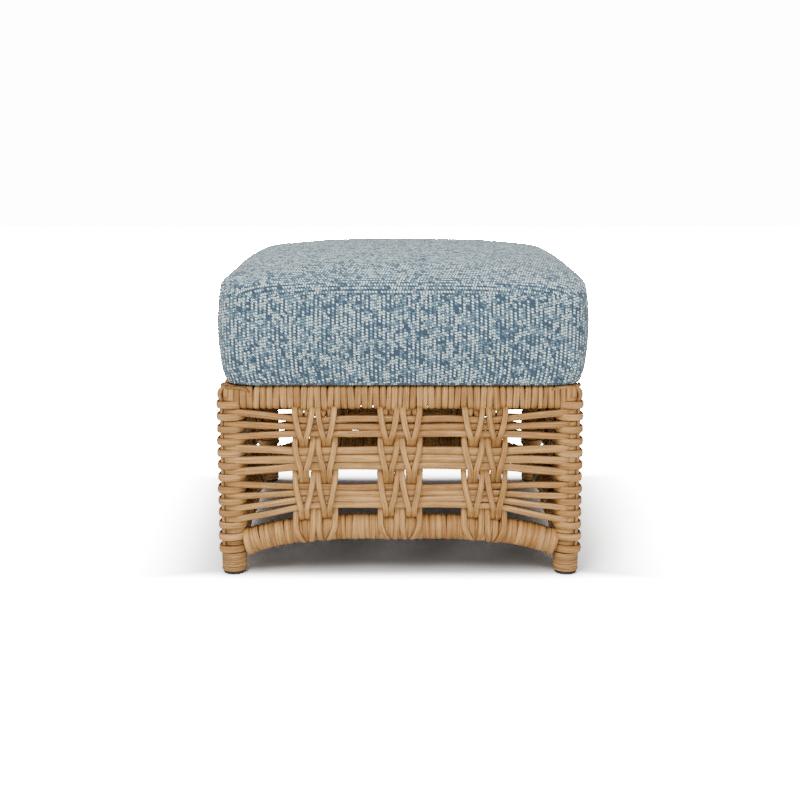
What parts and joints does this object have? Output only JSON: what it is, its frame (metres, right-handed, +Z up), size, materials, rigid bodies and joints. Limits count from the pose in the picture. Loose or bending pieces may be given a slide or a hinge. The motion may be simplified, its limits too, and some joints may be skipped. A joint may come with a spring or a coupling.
{
  "type": "outdoor ottoman footstool",
  "caption": "Square outdoor footstool: open woven wicker frame on wrapped legs with arched lower rails and a loose crowned box cushion.",
  "frame": {"origin": "on the floor below the middle of the frame", "axes": "+Z up, -Y towards the front panel, +X to the right seen from the front"},
  "size_m": [0.562, 0.5688, 0.4887],
  "materials": {
    "frame_tube": "satin",
    "wicker": "satin",
    "wicker_fine": "satin",
    "glide": "matte",
    "deck_bar": "satin",
    "cover_cloth": "matte",
    "cushion_fill": "matte",
    "zip": "satin"
  },
  "bodies": {
    "frame": {"leg_tube_front_left": "frame_tube", "leg_wrap_front_left": "wicker", "foot_cuff_front_left": "wicker_fine", "foot_glide_front_left": "glide", "leg_tube_front_right": "frame_tube", "leg_wrap_front_right": "wicker", "foot_cuff_front_right": "wicker_fine", "foot_glide_front_right": "glide", "leg_tube_back_right": "frame_tube", "leg_wrap_back_right": "wicker", "foot_cuff_back_right": "wicker_fine", "foot_glide_back_right": "glide", "leg_tube_back_left": "frame_tube", "leg_wrap_back_left": "wicker", "foot_cuff_back_left": "wicker_fine", "foot_glide_back_left": "glide", "top_rail_front": "frame_tube", "top_rail_wrap_front": "wicker", "arch_rail_front": "frame_tube", "arch_rail_wrap_front": "wicker", "tier_1_front": "wicker", "tier_2_front": "wicker", "tier_3_front": "wicker", "stakes_left_front": "wicker", "stakes_middle_front": "wicker", "stakes_right_front": "wicker", "top_rail_right": "frame_tube", "top_rail_wrap_right": "wicker", "arch_rail_right": "frame_tube", "arch_rail_wrap_right": "wicker", "tier_1_right": "wicker", "tier_2_right": "wicker", "tier_3_right": "wicker", "stakes_left_right": "wicker", "stakes_middle_right": "wicker", "stakes_right_right": "wicker", "top_rail_back": "frame_tube", "top_rail_wrap_back": "wicker", "arch_rail_back": "frame_tube", "arch_rail_wrap_back": "wicker", "tier_1_back": "wicker", "tier_2_back": "wicker", "tier_3_back": "wicker", "stakes_left_back": "wicker", "stakes_middle_back": "wicker", "stakes_right_back": "wicker", "top_rail_left": "frame_tube", "top_rail_wrap_left": "wicker", "arch_rail_left": "frame_tube", "arch_rail_wrap_left": "wicker", "tier_1_left": "wicker", "tier_2_left": "wicker", "tier_3_left": "wicker", "stakes_left_left": "wicker", "stakes_middle_left": "wicker", "stakes_right_left": "wicker", "seat_deck": "deck_bar"},
    "cushion": {"cushion_cover": "cover_cloth", "cushion_fill": "cushion_fill"},
    "zip_pull": {"zip_slider": "zip"}
  },
  "joints": [
    {"name": "cushion_lift", "type": "slide", "parent": "frame", "child": "cushion", "axis": [0, 0, 1], "range_m": [0, 0.25]},
    {"name": "zip_run", "type": "slide", "parent": "cushion", "child": "zip_pull", "axis": [-1, 0, 0], "range_m": [0, 0.4]}
  ]
}
